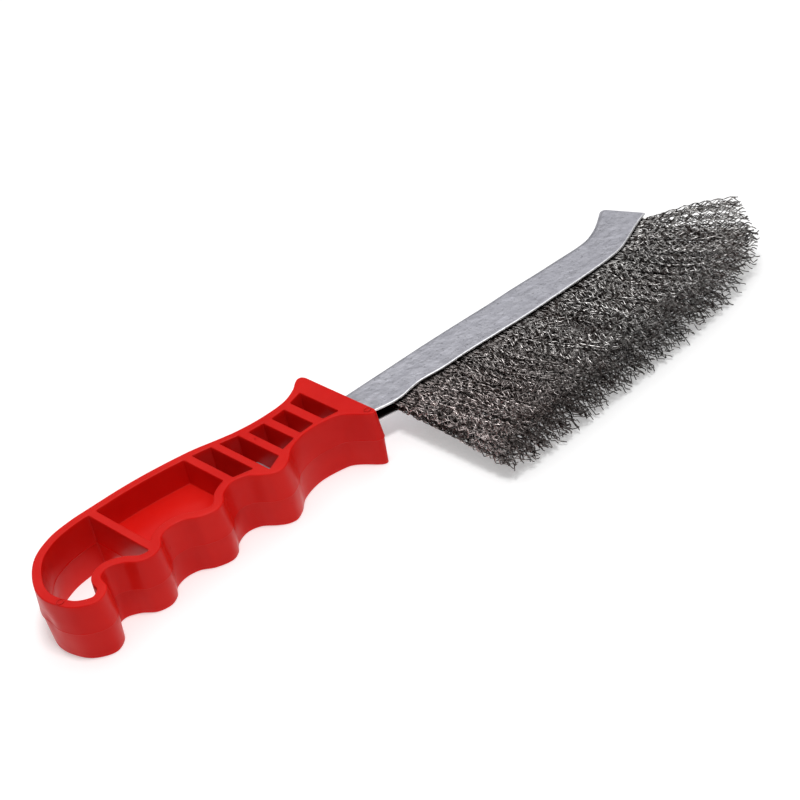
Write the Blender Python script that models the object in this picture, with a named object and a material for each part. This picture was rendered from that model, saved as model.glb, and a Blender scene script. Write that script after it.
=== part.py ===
"""Hand wire brush for cleaning welds.

A plastic knife handle is moulded round the tang of a folded steel channel. Crimped steel wires
are bent double over a core wire in the fold of the channel, and the channel is pressed on to
them. The brush lies on its side: X runs from the butt of the handle to the tip, the wires point
towards -Y, and Z is up from the surface that the rim of the handle rests on. The origin is on
that surface, at the centre of the brush's footprint.
"""
import math

import bmesh
import bpy
import numpy as np

MM = 0.001
TURN = 2 * math.pi

# Driving dimensions in millimetres, measured from the butt of the handle.
HANDLE_HEIGHT = 20.0
MID_HEIGHT = HANDLE_HEIGHT / 2
WALL = 3.0
OUTSIDE_DRAFT = 0.7
INSIDE_DRAFT = 0.4
WEB_THICKNESS = 2.6
HANDLE_FRONT = 114.8
PAST_FRONT = 4.0
SPAN_POINTS = 3
FINE_SPAN_POINTS = 40

SHEET = 0.7
CHANNEL_THICKNESS = 4.4
TANG_THICKNESS = 5.4
TANG_NARROWS = (112.0, 126.0)
FOLD_POINTS = 7
FIT_GAP = 0.3

CORE_RADIUS = 0.5
CORE_LEAD = 6.0
CORE_SIDES = 8
CORE_STATIONS = 44
ROOM = 0.25
LEG_THICKNESS = 0.5

BUNDLE_COUNT = 36
BUNDLE_GAP = 0.3
FIRST_WIRE_X = 127.0
NEAR_SPLAY = 5.0
FULL_SPLAY = 9.4
TIP_SPLAY = 3.0
FULLY_OPEN_AT = 0.12
CLOSING_FROM = 0.8
SPREAD_POWER = 1.3
OUTER_SHORTFALL = 0.05
BUNDLE_ROWS = (0.0, 0.35, 0.7, 1.0)

# The handle's rim from the spine corner of the flange, round the butt, to the finger corner.
HANDLE_BACK = [
    (HANDLE_FRONT, 13.0), (114.2, 14.4), (112.9, 14.9), (111.3, 14.2), (108.2, 11.9),
    (102.5, 9.7), (93.0, 9.8), (84.0, 11.6), (77.4, 14.0), (70.1, 16.9), (55.6, 20.5),
    (45.6, 22.1), (34.6, 23.1), (27.0, 23.6), (18.7, 22.8), (10.1, 18.9), (3.4, 11.1),
    (0.1, 3.0), (0.4, -3.9), (3.1, -10.5),
]
HANDLE_FINGERS = [
    (9.1, -14.3), (14.3, -11.5), (16.1, -6.2), (19.6, -4.7), (23.5, -6.9), (27.1, -11.2),
    (31.6, -12.5), (35.2, -10.9), (37.8, -7.8), (42.0, -6.6), (46.4, -7.7), (50.2, -11.1),
    (55.6, -13.1), (58.8, -11.8), (61.7, -8.7), (66.4, -7.0), (70.5, -8.4), (73.9, -12.8),
    (76.2, -15.1), (79.0, -16.1), (82.7, -14.6), (87.6, -10.7), (95.5, -8.7), (103.4, -10.1),
    (106.4, -11.4), (108.6, -14.0), (111.6, -19.0), (112.9, -20.3), (114.2, -20.3),
    (HANDLE_FRONT, -19.2),
]

# Where the two large pockets start and end along X. Their sides follow the rim.
HANGING_HOLE = (0.0, 31.8)
WEBBED_POCKET = (34.5, 65.5)

# The mouths of the small pockets, as (butt-side x, flange-side x, then the y of the finger
# side at both, then the y of the spine side at both). The ribs are what is left between them.
OPEN_POCKETS = [
    (68.3, 74.4, -5.4, -7.8, 14.5, 12.5), (77.0, 82.9, -12.5, -10.1, 11.4, 9.2),
    (85.8, 91.3, -8.7, -7.6, 7.6, 6.8), (94.3, 99.6, -7.3, -7.5, 6.3, 6.4),
    (102.9, 108.2, -8.3, -9.8, 7.2, 8.5),
]

# The channel from the end of the tang to the tip: a point on its folded spine, and the point
# of its open lip that lies straight across from it, as (spine x, spine y, lip x, lip y).
CHANNEL = [
    (67.0, 4.2, 67.0, -4.3), (90.0, 4.4, 90.0, -5.4), (112.0, 4.7, 111.5, -8.0),
    (122.0, 4.6, 121.6, -11.1), (129.5, 4.1, 129.2, -12.9), (139.5, 3.3, 138.8, -12.2),
    (149.0, 2.6, 148.0, -13.7), (160.3, 1.6, 158.8, -14.6), (171.5, 0.4, 170.0, -16.1),
    (181.0, -0.7, 179.4, -17.3), (191.0, -1.5, 189.3, -18.2), (203.4, -2.9, 202.0, -19.1),
    (212.0, -3.7, 211.3, -19.6), (219.0, -4.4, 219.8, -19.8), (224.5, -4.3, 226.5, -19.2),
    (230.3, -2.5, 233.7, -16.8), (235.4, 0.2, 240.0, -14.3), (240.6, 3.6, 246.3, -12.4),
]

# Where the wires end, for wires whose roots are evenly spaced along the lip. They stand square
# to the channel, and fan out round its turned-up tip.
TIP_LINE = [
    (127.2, -60.5), (138.6, -61.8), (150.3, -62.0), (162.2, -62.0), (174.2, -62.0),
    (186.8, -62.0), (199.8, -62.0), (214.0, -61.8), (230.5, -60.0), (251.0, -54.5),
    (269.5, -33.0),
]


def smooth_curve(points, per_span):
    """Points on the smooth curve through the given points, with per_span steps between two.

    Each span is a cubic whose end slopes are those of the chord between its neighbours, with
    the distance between points as the parameter, so that uneven spacing makes no overshoot.
    """
    p = np.array(points, float)
    t = np.concatenate([[0.0], np.cumsum(np.sqrt(np.linalg.norm(np.diff(p, axis=0), axis=1)))])
    slope = np.gradient(p, t, axis=0)
    u = np.linspace(0, 1, per_span, endpoint=False)[None, :, None]
    width = np.diff(t)[:, None, None]
    start, end = p[:-1, None], p[1:, None]
    curve = (
        (1 + 2 * u) * (1 - u) ** 2 * start
        + u * (1 - u) ** 2 * width * slope[:-1, None]
        + u**2 * (3 - 2 * u) * end
        - u**2 * (1 - u) * width * slope[1:, None]
    )
    return np.vstack([curve.reshape(-1, p.shape[1]), p[-1]])


def handle_rim():
    """The closed outline of the handle's rim, anticlockwise seen from above.

    The flange's straight front closes it, from the last point of the curve to the first.
    """
    return smooth_curve(HANDLE_BACK + HANDLE_FINGERS, SPAN_POINTS)


def offset_outline(outline, distance):
    """The closed outline moved outwards by the distance, or inwards if it is negative."""
    ahead = np.roll(outline, -1, axis=0) - outline
    ahead /= np.linalg.norm(ahead, axis=1)[:, None]
    behind = np.roll(ahead, 1, axis=0)
    along = ahead + behind
    along /= np.linalg.norm(along, axis=1)[:, None]
    outwards = np.stack([along[:, 1], -along[:, 0]], 1)
    return outline + outwards * distance


def clip_at_x(outline, x, keep_right):
    """The part of a closed outline on one side of the line at x."""
    side = 1 if keep_right else -1
    kept = []
    for here, following in zip(outline, np.roll(outline, -1, axis=0)):
        inside = side * (here[0] - x) >= 0
        if inside:
            kept.append(here)
        if inside != (side * (following[0] - x) >= 0):
            share = (x - here[0]) / (following[0] - here[0])
            kept.append(here + share * (following - here))
    return np.array(kept)


def material(name, colour, roughness, metallic):
    """A plain Principled material."""
    made = bpy.data.materials.new(name)
    made.use_nodes = True
    shader = made.node_tree.nodes["Principled BSDF"]
    shader.inputs["Base Color"].default_value = (*colour, 1.0)
    shader.inputs["Roughness"].default_value = roughness
    shader.inputs["Metallic"].default_value = metallic
    made.diffuse_color = (*colour, 1.0)
    return made


def add_object(name, points, faces, finish, parent):
    """An object from points in millimetres and faces, with its faces turned outwards."""
    mesh = bpy.data.meshes.new(name)
    mesh.from_pydata([tuple(p) for p in np.array(points, float) * MM], [], faces)
    tidy = bmesh.new()
    tidy.from_mesh(mesh)
    bmesh.ops.recalc_face_normals(tidy, faces=tidy.faces)
    tidy.to_mesh(mesh)
    tidy.free()
    mesh.materials.append(finish)
    made = bpy.data.objects.new(name, mesh)
    made.parent = parent
    bpy.context.collection.objects.link(made)
    return made


def stack_of_rings(rings):
    """Points and faces of a closed solid through rings of equal count, flat at both ends."""
    count = len(rings[0])
    points = np.vstack(rings)
    faces = [tuple(range(count))[::-1]]
    for level in range(len(rings) - 1):
        for i in range(count):
            j = (i + 1) % count
            low, high = level * count, (level + 1) * count
            faces.append((low + i, low + j, high + j, high + i))
    faces.append(tuple(range(len(points) - count, len(points))))
    return points, faces


def at_height(outline, z):
    """A flat outline as points at one height."""
    return np.column_stack([outline, np.full(len(outline), z)])


def add_cutter(name, outlines, finish, parent, target):
    """Cuts a hidden solid, given as pairs of outline and height, out of the target."""
    points, faces = stack_of_rings([at_height(outline, z) for outline, z in outlines])
    cutter = add_object(name, points, faces, finish, parent)
    cutter.hide_render = True
    cutter.display_type = "WIRE"
    cut = target.modifiers.new(name, "BOOLEAN")
    cut.operation = "DIFFERENCE"
    cut.solver = "EXACT"
    cut.object = cutter


def inside_rim(rim, ends):
    """The mouth of a large pocket: the inside of the wall, between the ribs that close it."""
    first, last = ends
    inside = clip_at_x(offset_outline(rim, -WALL), last, keep_right=False)
    if first > 0:
        inside = clip_at_x(inside, first, keep_right=True)
    return inside


def between_ribs(pocket):
    """The four-cornered mouth of a small pocket, anticlockwise."""
    near, far, near_finger, far_finger, near_spine, far_spine = pocket
    corners = [(near, near_finger), (far, far_finger), (far, far_spine), (near, near_spine)]
    return np.array(corners)


def tapered(outline, inset):
    """The outline drawn in towards its middle by the inset on each side."""
    low, high = outline.min(0), outline.max(0)
    middle, half = (low + high) / 2, (high - low) / 2
    return middle + (outline - middle) * (1 - inset / half)


def add_handle(finish, parent):
    """The handle: drafted both ways from a parting line, with pockets and a slot for the tang."""
    rim = handle_rim()
    widest = offset_outline(rim, OUTSIDE_DRAFT)
    rings = [at_height(rim, 0), at_height(widest, MID_HEIGHT), at_height(rim, HANDLE_HEIGHT)]
    handle = add_object("handle", *stack_of_rings(rings), finish, parent)

    under, over = -1, HANDLE_HEIGHT + 1
    mouths = [inside_rim(rim, HANGING_HOLE)] + [between_ribs(p) for p in OPEN_POCKETS]
    for number, mouth in enumerate(mouths, 1):
        levels = [(mouth, under), (tapered(mouth, INSIDE_DRAFT), MID_HEIGHT), (mouth, over)]
        add_cutter(f"through_pocket_cutter_{number}", levels, finish, parent, handle)

    mouth = inside_rim(rim, WEBBED_POCKET)
    floor = tapered(mouth, INSIDE_DRAFT)
    upper = [(floor, MID_HEIGHT + WEB_THICKNESS / 2), (mouth, over)]
    lower = [(mouth, under), (floor, MID_HEIGHT - WEB_THICKNESS / 2)]
    add_cutter("upper_pocket_cutter", upper, finish, parent, handle)
    add_cutter("lower_pocket_cutter", lower, finish, parent, handle)

    edges = smooth_curve(CHANNEL, 2)
    tang = edges[edges[:, 0] < HANDLE_FRONT + PAST_FRONT]
    tang[0, [0, 2]] -= FIT_GAP
    spine_side = tang[:, :2] + (0, FIT_GAP)
    lip_side = tang[:, 2:] - (0, FIT_GAP)
    slot = np.vstack([lip_side, spine_side[::-1]])
    half_slot = TANG_THICKNESS / 2 + FIT_GAP
    levels = [(slot, MID_HEIGHT - half_slot), (slot, MID_HEIGHT + half_slot)]
    add_cutter("tang_slot_cutter", levels, finish, parent, handle)


def smooth_step(value):
    """0 below 0, 1 above 1, and an even S-curve between."""
    share = np.clip(value, 0, 1)
    return share * share * (3 - 2 * share)


def channel_thickness(x):
    """The channel is open at the tang, and pressed thinner where it holds the wires."""
    start, end = TANG_NARROWS
    pressed = smooth_step((x - start) / (end - start))
    return TANG_THICKNESS + (CHANNEL_THICKNESS - TANG_THICKNESS) * pressed


def in_section(spine, lip, depth, height):
    """A point in the section from spine to lip: depth along that line, height off mid-plane."""
    across = (lip - spine) / np.linalg.norm(lip - spine)
    return np.array([*(spine + across * depth), MID_HEIGHT + height])


def add_channel(finish, parent):
    """The channel: one strip folded over its spine, both cheeks ending in a cut lip."""
    turns = np.linspace(TURN / 4, 3 * TURN / 4, FOLD_POINTS)
    rings = []
    for station in smooth_curve(CHANNEL, SPAN_POINTS):
        spine, lip = station[:2], station[2:]
        half = channel_thickness(spine[0]) / 2
        width = np.linalg.norm(lip - spine)
        outer = [(half + half * math.cos(a), half * math.sin(a)) for a in turns]
        bore = half - SHEET
        inner = [(half + bore * math.cos(a), bore * math.sin(a)) for a in turns[::-1]]
        section = [(width, half), *outer, (width, -half), (width, -bore), *inner, (width, bore)]
        rings.append([in_section(spine, lip, depth, height) for depth, height in section])
    add_object("steel_channel", *stack_of_rings(rings), finish, parent)


def rows_of_wire():
    """Spine, lip and tip points for wires at evenly spaced fractions along the lip.

    The answer is a function of the fraction, from 0 at the first wires to 1 at the last.
    """
    fine = smooth_curve(CHANNEL, FINE_SPAN_POINTS)
    fine = fine[fine[:, 2] >= FIRST_WIRE_X]
    steps = np.linalg.norm(np.diff(fine[:, 2:], axis=0), axis=1)
    fraction = np.concatenate([[0.0], np.cumsum(steps)]) / steps.sum()
    tips = smooth_curve(TIP_LINE, FINE_SPAN_POINTS)
    tip_fraction = np.linspace(0, 1, len(tips))

    def row(share):
        edges = [np.interp(share, fraction, fine[:, k]) for k in range(4)]
        tip = [np.interp(share, tip_fraction, tips[:, k]) for k in range(2)]
        return np.array(edges[:2]), np.array(edges[2:]), np.array(tip)

    return row, steps.sum()


def splay(share):
    """Half the thickness of the brush at its tips: compact at the ends, wide between."""
    opened = NEAR_SPLAY + (FULL_SPLAY - NEAR_SPLAY) * smooth_step(share / FULLY_OPEN_AT)
    closed = smooth_step((share - CLOSING_FROM) / (1 - CLOSING_FROM))
    return opened + (TIP_SPLAY - FULL_SPLAY) * closed


def add_core_wire(finish, parent):
    """The wire that the bristles are folded over, along the inside of the channel's fold."""
    row, length = rows_of_wire()
    depth = CHANNEL_THICKNESS / 2
    shares = np.linspace(-CORE_LEAD / length, 1, CORE_STATIONS)
    centres = []
    for share in shares:
        spine, lip, _ = row(max(share, 0))
        centre = in_section(spine, lip, depth, 0)
        centre[0] += min(share, 0) * length
        centres.append(centre)
    rings = []
    for here, ahead in zip(centres, np.gradient(np.array(centres), axis=0)):
        side = np.array([-ahead[1], ahead[0], 0]) / np.linalg.norm(ahead)
        up = np.array([0, 0, 1])
        angles = np.arange(CORE_SIDES) * TURN / CORE_SIDES
        rings.append([here + CORE_RADIUS * (math.cos(a) * side + math.sin(a) * up) for a in angles])
    add_object("core_wire", *stack_of_rings(rings), finish, parent)


def bundle_side(row, share):
    """One side of a bundle: a ring round the core wire, then rows of three out to the tips."""
    spine, lip, tip = row(share)
    core_depth = CHANNEL_THICKNESS / 2
    loop = CORE_RADIUS + ROOM + LEG_THICKNESS
    bore = CORE_RADIUS + ROOM
    angles = np.arange(8) * TURN / 8
    circle = np.column_stack([np.cos(angles), np.sin(angles)])
    square = circle.copy()
    square[[1, 7]] = (1, 1), (1, -1)
    ring = [in_section(spine, lip, core_depth + bore * w, bore * z) for w, z in circle]
    ring += [in_section(spine, lip, core_depth + loop * w, loop * z) for w, z in square]
    spread = splay(share)
    rows = []
    for along in BUNDLE_ROWS:
        half = loop + (spread - loop) * along**SPREAD_POWER
        middle = lip + (tip - lip) * along
        early = lip + (tip - lip) * (along - OUTER_SHORTFALL * along**4)
        rows += [(*early, MID_HEIGHT + half), (*middle, MID_HEIGHT), (*early, MID_HEIGHT - half)]
    return np.array(ring + rows)


def add_bundle(number, row, length, finish, parent):
    """One bundle of wires, bent double over the core wire and spreading to its tips."""
    margin = BUNDLE_GAP / 2 / length
    first = bundle_side(row, (number - 1) / BUNDLE_COUNT + margin)
    last = bundle_side(row, number / BUNDLE_COUNT - margin)
    count = len(first)
    side_faces = [(i, (i + 1) % 8, 8 + (i + 1) % 8, 8 + i) for i in range(8)]
    columns = [(9, 8, 15)] + [(16 + 3 * k, 17 + 3 * k, 18 + 3 * k) for k in range(4)]
    for near, far in zip(columns, columns[1:]):
        side_faces += [(near[k], near[k + 1], far[k + 1], far[k]) for k in range(2)]
    rim = [column[0] for column in columns] + [columns[-1][1]]
    rim += [column[2] for column in columns[::-1]] + [14, 13, 12, 11, 10]
    hole = list(range(8))
    faces = side_faces + [tuple(count + i for i in face) for face in side_faces]
    for loop in (rim, hole):
        faces += [
            (a, b, count + b, count + a) for a, b in zip(loop, loop[1:] + loop[:1])
        ]
    name = f"bristle_bundle_{number:02d}"
    add_object(name, np.vstack([first, last]), faces, finish, parent)


def centre_on_origin(parent):
    """Moves the whole brush so that the origin is under the middle of its footprint."""
    corners = np.array([
        tuple(vertex.co)[:2]
        for child in parent.children if not child.hide_render
        for vertex in child.data.vertices
    ])
    middle = (corners.min(0) + corners.max(0)) / 2
    parent.location = (-middle[0], -middle[1], 0)


def main():
    for old in list(bpy.data.objects):
        bpy.data.objects.remove(old)
    brush = bpy.data.objects.new("wire_brush", None)
    bpy.context.collection.objects.link(brush)
    red_plastic = material("red_plastic", (0.72, 0.02, 0.015), 0.38, 0.0)
    galvanised = material("galvanised_steel", (0.55, 0.56, 0.60), 0.42, 1.0)
    bright_wire = material("core_steel", (0.42, 0.42, 0.43), 0.35, 1.0)
    crimped_wire = material("bristle_steel", (0.20, 0.18, 0.17), 0.40, 1.0)

    add_handle(red_plastic, brush)
    add_channel(galvanised, brush)
    add_core_wire(bright_wire, brush)
    row, length = rows_of_wire()
    for number in range(1, BUNDLE_COUNT + 1):
        add_bundle(number, row, length, crimped_wire, brush)
    centre_on_origin(brush)


main()
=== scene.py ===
# %% [markdown]
# # A hand wire brush
#
# This lesson builds the looks of a wire brush for cleaning welds: a moulded red handle, a folded
# steel channel and more than six hundred hairpins of crimped steel wire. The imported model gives
# the frame, and every piece below is a surface worked out with numpy inside the space that its
# solid holds.

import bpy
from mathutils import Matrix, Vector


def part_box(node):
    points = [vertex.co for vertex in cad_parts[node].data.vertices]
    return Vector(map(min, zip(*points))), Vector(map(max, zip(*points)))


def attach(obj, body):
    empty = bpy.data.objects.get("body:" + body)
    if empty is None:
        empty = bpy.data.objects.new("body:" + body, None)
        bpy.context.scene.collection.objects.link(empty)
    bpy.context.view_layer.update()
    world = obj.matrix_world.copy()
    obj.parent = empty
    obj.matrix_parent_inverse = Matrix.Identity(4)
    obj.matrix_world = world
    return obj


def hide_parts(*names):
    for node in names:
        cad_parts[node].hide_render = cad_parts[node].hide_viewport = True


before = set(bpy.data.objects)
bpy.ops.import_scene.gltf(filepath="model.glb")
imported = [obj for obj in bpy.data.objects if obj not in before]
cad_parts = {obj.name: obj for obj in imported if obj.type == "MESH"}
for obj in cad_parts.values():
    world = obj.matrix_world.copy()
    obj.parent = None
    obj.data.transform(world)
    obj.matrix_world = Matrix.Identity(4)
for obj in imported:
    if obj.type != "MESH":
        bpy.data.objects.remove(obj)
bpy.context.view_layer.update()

# %% Other modules
import math

import bmesh
import bpy
import numpy as np
from mathutils import Matrix, Vector

MM = 0.001
TURN = 2 * math.pi
random = np.random.default_rng(7)

# %% [markdown]
# ## Curves
#
# The handle and the channel are drawn as a draughtsman would: a few points, and a smooth curve
# through them. A Bezier curve object would do it too, but with numpy the same function serves
# outlines in the plane and pairs of edges that must stay in step, because it takes points with
# any number of coordinates.


# %% A smooth curve through points
def smooth_curve(points, per_span):
    """Points on a smooth curve, per_span steps to each span.

    Each span is the cubic that leaves its first point and reaches its last with given slopes.
    The slope at a point is that of the curve through its neighbours, with the square root of
    the distance as the parameter, so close points make a tight bend and not an overshoot.
    """
    p = np.array(points, float)
    t = np.concatenate([[0.0], np.cumsum(np.sqrt(np.linalg.norm(np.diff(p, axis=0), axis=1)))])
    slope = np.gradient(p, t, axis=0)
    u = np.linspace(0, 1, per_span, endpoint=False)[None, :, None]
    width = np.diff(t)[:, None, None]
    curve = (
        (1 + 2 * u) * (1 - u) ** 2 * p[:-1, None]
        + u * (1 - u) ** 2 * width * slope[:-1, None]
        + u**2 * (3 - 2 * u) * p[1:, None]
        - u**2 * (1 - u) * width * slope[1:, None]
    )
    return np.vstack([curve.reshape(-1, p.shape[1]), p[-1]])


def along(points):
    """Distance from the first point to each point, along the polyline."""
    return np.concatenate([[0.0], np.cumsum(np.linalg.norm(np.diff(points, axis=0), axis=1))])


def at_distance(points, distances):
    """Points of the plane at the given distances along the polyline, by linear interpolation."""
    places = along(points)
    return np.stack([np.interp(distances, places, points[:, k]) for k in range(2)], 1)


def smooth_step(value):
    """0 below 0, 1 above 1, and 3v^2 - 2v^3 between, which starts and ends level."""
    share = np.clip(value, 0, 1)
    return share * share * (3 - 2 * share)


def eased(value, start, stretch):
    """0 up to the start, 1 from the end of the stretch on, and a smooth step over it."""
    return smooth_step((value - start) / stretch)


# %% [markdown]
# ## The drawing
#
# These are the brush's own sizes in millimetres, measured from the butt of the handle, as in
# the CAD model. The outline runs round the rim of the handle. Each channel row pairs a point of
# the folded spine with the point of the open lip straight across from it.

# %% Sizes of the handle
HANDLE_HEIGHT = 20.0
MID_HEIGHT = HANDLE_HEIGHT / 2
WALL = 3.0
OUTSIDE_DRAFT = 0.7
INSIDE_DRAFT = 0.4
WEB_THICKNESS = 2.6
HANDLE_FRONT = 114.8
OUTLINE_CORNER = 0.5
OUTLINE_SPACING = 0.33

HANDLE_OUTLINE = [
    (HANDLE_FRONT, 13.0), (114.2, 14.4), (112.9, 14.9), (111.3, 14.2), (108.2, 11.9),
    (102.5, 9.7), (93.0, 9.8), (84.0, 11.6), (77.4, 14.0), (70.1, 16.9), (55.6, 20.5),
    (45.6, 22.1), (34.6, 23.1), (27.0, 23.6), (18.7, 22.8), (10.1, 18.9), (3.4, 11.1),
    (0.1, 3.0), (0.4, -3.9), (3.1, -10.5),
    (9.1, -14.3), (14.3, -11.5), (16.1, -6.2), (19.6, -4.7), (23.5, -6.9), (27.1, -11.2),
    (31.6, -12.5), (35.2, -10.9), (37.8, -7.8), (42.0, -6.6), (46.4, -7.7), (50.2, -11.1),
    (55.6, -13.1), (58.8, -11.8), (61.7, -8.7), (66.4, -7.0), (70.5, -8.4), (73.9, -12.8),
    (76.2, -15.1), (79.0, -16.1), (82.7, -14.6), (87.6, -10.7), (95.5, -8.7), (103.4, -10.1),
    (106.4, -11.4), (108.6, -14.0), (111.6, -19.0), (112.9, -20.3), (114.2, -20.3),
    (HANDLE_FRONT, -19.2),
]
HANGING_HOLE = (-5.0, 31.8)
WEBBED_POCKET = (34.5, 65.5)
OPEN_POCKETS = [
    (68.3, 74.4, -5.4, -7.8, 14.5, 12.5), (77.0, 82.9, -12.5, -10.1, 11.4, 9.2),
    (85.8, 91.3, -8.7, -7.6, 7.6, 6.8), (94.3, 99.6, -7.3, -7.5, 6.3, 6.4),
    (102.9, 108.2, -8.3, -9.8, 7.2, 8.5),
]

# %% Sizes of the channel and the wires
SHEET = 0.7
CHANNEL_THICKNESS = 4.4
TANG_THICKNESS = 5.4
TANG_NARROWS = (112.0, 126.0)
CORE_RADIUS = 0.5
CHANNEL = [
    (67.0, 4.2, 67.0, -4.3), (90.0, 4.4, 90.0, -5.4), (112.0, 4.7, 111.5, -8.0),
    (122.0, 4.6, 121.6, -11.1), (129.5, 4.1, 129.2, -12.9), (139.5, 3.3, 138.8, -12.2),
    (149.0, 2.6, 148.0, -13.7), (160.3, 1.6, 158.8, -14.6), (171.5, 0.4, 170.0, -16.1),
    (181.0, -0.7, 179.4, -17.3), (191.0, -1.5, 189.3, -18.2), (203.4, -2.9, 202.0, -19.1),
    (212.0, -3.7, 211.3, -19.6), (219.0, -4.4, 219.8, -19.8), (224.5, -4.3, 226.5, -19.2),
    (230.3, -2.5, 233.7, -16.8), (235.4, 0.2, 240.0, -14.3), (240.6, 3.6, 246.3, -12.4),
]
FIRST_WIRE_X = 127.0
BUNDLE_COUNT = 36
TIP_LINE = [
    (127.2, -60.5), (138.6, -61.8), (150.3, -62.0), (162.2, -62.0), (174.2, -62.0),
    (186.8, -62.0), (199.8, -62.0), (214.0, -61.8), (230.5, -60.0), (251.0, -54.5),
    (269.5, -33.0),
]
NEAR_SPLAY = 5.0
FULL_SPLAY = 9.0
TIP_SPLAY = 3.0
SPLAY_OPENS = (0, 0.12)
SPLAY_CLOSES = (0.8, 0.2)

# %% [markdown]
# ## Outlines
#
# A moulding needs its outline at many sizes: drawn in for the inside of the wall, drawn out for
# the bulge at the parting line, and drawn in a little for every ring of a rounded edge. Moving
# each point along its own normal does all of them, as long as the points are close together.


# %% Working with closed outlines
def normals_of(outline):
    """Unit normals of a closed anticlockwise outline, pointing out of it."""
    run = np.roll(outline, -1, axis=0) - np.roll(outline, 1, axis=0)
    run /= np.linalg.norm(run, axis=1)[:, None]
    return np.stack([run[:, 1], -run[:, 0]], 1)


def offset(outline, distance):
    """The outline with every point moved along its normal, outwards if the distance is above 0."""
    return outline + normals_of(outline) * np.reshape(distance, (-1, 1))


def clipped(outline, x, side):
    """The part of an outline right of x where side is 1, or left of x where side is -1."""
    after = np.roll(outline, -1, axis=0)
    inside = side * (outline[:, 0] - x) >= 0
    crossing = inside != np.roll(inside, -1)
    share = (x - outline[:, 0]) / np.where(crossing, after[:, 0] - outline[:, 0], 1)
    cut = outline + share[:, None] * (after - outline)
    points = np.stack([outline, cut], 1).reshape(-1, 2)
    return points[np.stack([inside, crossing], 1).reshape(-1)]


def rounded(outline, radius):
    """The closed outline with corners eased to about the radius, as evenly spaced points.

    Averaging each point with its neighbours within the radius rounds a corner and leaves a
    straight stretch straight.
    """
    loop = np.vstack([outline, outline[:1]])
    length = along(loop)[-1]
    count = int(length / OUTLINE_SPACING)
    even = at_distance(loop, np.arange(count) * length / count)
    reach = max(1, int(radius / OUTLINE_SPACING))
    weights = np.hanning(2 * reach + 3)[1:-1]
    turns = range(-reach, reach + 1)
    return sum(w * np.roll(even, turn, axis=0) for w, turn in zip(weights, turns)) / weights.sum()


# %% The handle's outline in small even steps, and where the drawing lies in the frame
rim = rounded(smooth_curve(HANDLE_OUTLINE, 24), OUTLINE_CORNER)
channel_rows = smooth_curve(CHANNEL, 40)
channel_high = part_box("steel_channel")[1]
BUTT_X = channel_high[0] / MM - channel_rows[:, 2].max()
BUTT_Y = channel_high[1] / MM - channel_rows[:, 1].max()
print("the butt's own zero is at", round(BUTT_X, 2), round(BUTT_Y, 2), "mm in the frame")

# %% [markdown]
# ## From points to a mesh
#
# Every surface here is a grid of points: rows along one parameter, columns along the other. One
# helper joins neighbouring points into quads, another puts the arrays into a mesh in one go.


# %% Grid and mesh helpers
def grid_faces(rows, columns, closed=True, start=0):
    """Quads between neighbouring points of a grid, whose columns close into rings if asked."""
    row = np.arange(rows - 1)[:, None]
    column = np.arange(columns if closed else columns - 1)[None]
    ahead = (column + 1) % columns
    corners = [row * columns + column, row * columns + ahead,
               (row + 1) * columns + ahead, (row + 1) * columns + column]
    return start + np.stack(corners, -1).reshape(-1, 4)


def mesh_of(name, points, faces):
    """A mesh from points in the drawing's millimetres and a list of arrays of faces."""
    placed = (np.asarray(points, float) + (BUTT_X, BUTT_Y, 0)) * MM
    made = bpy.data.meshes.new(name)
    sizes = np.concatenate([np.full(len(group), group.shape[1]) for group in faces])
    corners = np.concatenate([group.reshape(-1) for group in faces])
    made.vertices.add(len(placed))
    made.vertices.foreach_set("co", placed.astype(np.float32).ravel())
    made.loops.add(len(corners))
    made.loops.foreach_set("vertex_index", corners.astype(np.int32))
    made.polygons.add(len(sizes))
    made.polygons.foreach_set("loop_start", np.concatenate([[0], np.cumsum(sizes)[:-1]]))
    made.update(calc_edges=True)
    made.validate()
    return made


def add_piece(name, mesh, finish, slot, *nodes):
    """A finished piece: it rides on the brush and stands for its CAD nodes."""
    mesh.materials.append(finish)
    mesh.shade_smooth()
    piece = bpy.data.objects.new(name, mesh)
    bpy.context.collection.objects.link(piece)
    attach(piece, "root")
    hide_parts(*nodes)
    return piece


# %% [markdown]
# ## Tubes
#
# A wire is a small polygon carried along a path. All the wires of a bundle share one formula:
# the paths are one array, wires by steps by coordinates, and so are the frames that the polygon
# turns in. The same formula makes the moulder's marks on the handle.


# %% Many tubes at once
ODD_DIRECTION = np.array([0.31, 0.12, 0.94])


def tubes(paths, radius, sides):
    """Points and faces of closed tubes along an array of paths, wires x steps x 3.

    At each step the path's direction crossed with a fixed odd direction, which hardly any path
    runs along, gives one axis of the polygon, and crossed again the other. The radius may
    differ from step to step.
    """
    wires, steps = paths.shape[:2]
    run = np.gradient(paths, axis=1)
    run /= np.linalg.norm(run, axis=2, keepdims=True)
    one = np.cross(run, ODD_DIRECTION)
    one /= np.linalg.norm(one, axis=2, keepdims=True)
    two = np.cross(run, one)
    angle = (np.arange(sides) * TURN / sides)[None, None, :, None]
    ring = np.cos(angle) * one[:, :, None] + np.sin(angle) * two[:, :, None]
    points = paths[:, :, None] + np.reshape(radius, (1, -1, 1, 1)) * ring
    each = grid_faces(steps, sides)
    first = (np.arange(wires) * steps * sides)[:, None, None]
    skin = (each[None] + first).reshape(-1, 4)
    cap = np.arange(sides)[None]
    ends = np.concatenate([cap[:, ::-1] + first[:, 0], cap + (steps - 1) * sides + first[:, 0]])
    return points.reshape(-1, 3), [skin, ends]


# %% [markdown]
# ## Node helper
#
# Materials are chains of nodes. This short helper adds one node with its settings, so that each
# finish below reads as a list of what happens to the surface.


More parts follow.
